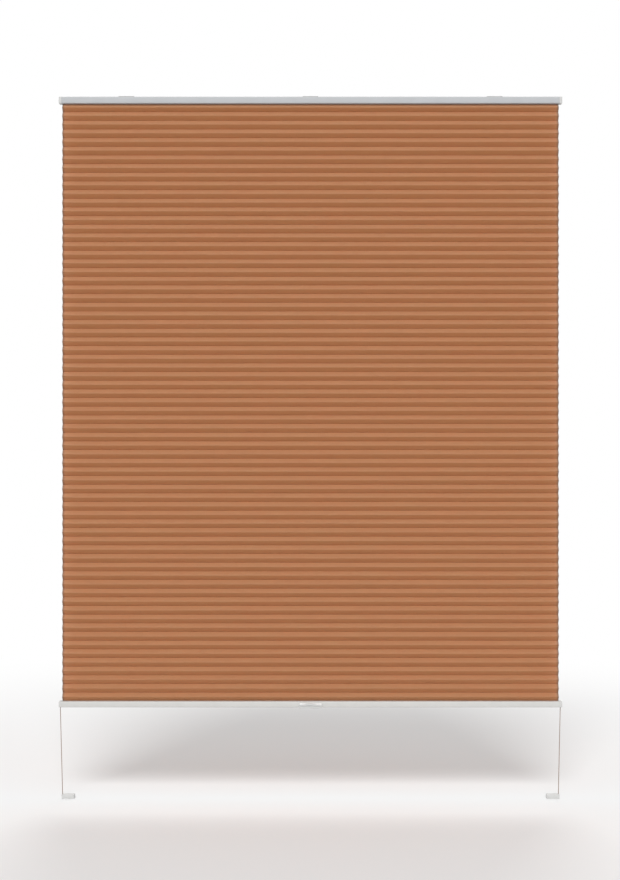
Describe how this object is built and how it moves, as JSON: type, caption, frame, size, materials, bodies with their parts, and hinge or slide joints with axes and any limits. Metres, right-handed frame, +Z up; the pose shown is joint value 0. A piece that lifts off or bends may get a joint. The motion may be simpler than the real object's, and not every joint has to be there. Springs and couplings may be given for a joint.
{
  "type": "cellular blind",
  "caption": "Tensioned honeycomb blind: fabric cells between a clipped headrail and a sliding bottom rail with a pull tab, kept straight by cords that run to feet on the sill",
  "frame": {"origin": "The middle of the upper face of the centre headrail clip, which is screwed up against the head of a window recess.", "axes": "+Z is up, +X is to the right as seen from the room, and -Y points into the room; the blind hangs down from the origin."},
  "size_m": [1.163, 0.0297, 1.6235],
  "materials": {
    "fabric": "matte terracotta nonwoven polyester, folded into glued cells",
    "rail": "satin white powder coat on extruded aluminium",
    "white_plastic": "satin moulded white plastic",
    "clear_plastic": "glossy milky clear plastic",
    "spring_steel": "bright spring steel and pressed steel",
    "cord": "fine braided polyester cord in a pale copper brown"
  },
  "bodies": {
    "headrail": {"headrail": "rail", "headrail_cap_left": "white_plastic", "headrail_cap_right": "white_plastic", "clip_left": "white_plastic", "clip_centre": "white_plastic", "clip_right": "white_plastic", "spring_anchor": "white_plastic", "tension_spring_left": "spring_steel", "tension_spring_right": "spring_steel", "spring_ferrule_left": "spring_steel", "spring_ferrule_right": "spring_steel", "headrail_cord_left": "cord", "headrail_cord_right": "cord", "headrail_cord_guide_left": "white_plastic", "headrail_cord_guide_right": "white_plastic", "top_fabric_strip": "white_plastic", "cell_pack_upper": "fabric", "cell_pack_middle": "fabric", "cell_pack_lower": "fabric", "cell_cord_left": "cord", "cell_cord_right": "cord", "lower_cord_left": "cord", "lower_cord_right": "cord", "foot_base_left": "white_plastic", "foot_base_right": "white_plastic", "foot_cover_left": "white_plastic", "foot_cover_right": "white_plastic", "foot_knot_left": "cord", "foot_knot_right": "cord"},
    "bottom_rail": {"bottom_rail": "rail", "bottom_rail_cap_left": "white_plastic", "bottom_rail_cap_right": "white_plastic", "bottom_fabric_strip": "white_plastic", "rail_cord_guide_left": "white_plastic", "rail_cord_guide_right": "white_plastic", "rail_cord_left": "cord", "rail_cord_right": "cord", "pull_handle": "clear_plastic"}
  },
  "joints": [
    {"name": "bottom_rail_slide", "type": "slide", "parent": "headrail", "child": "bottom_rail", "axis": [0, 0, 1], "range_m": [-0.19, 1.25], "deforming": ["cell_pack_upper", "cell_pack_middle", "cell_pack_lower", "cell_cord_left", "cell_cord_right", "lower_cord_left", "lower_cord_right"]}
  ]
}
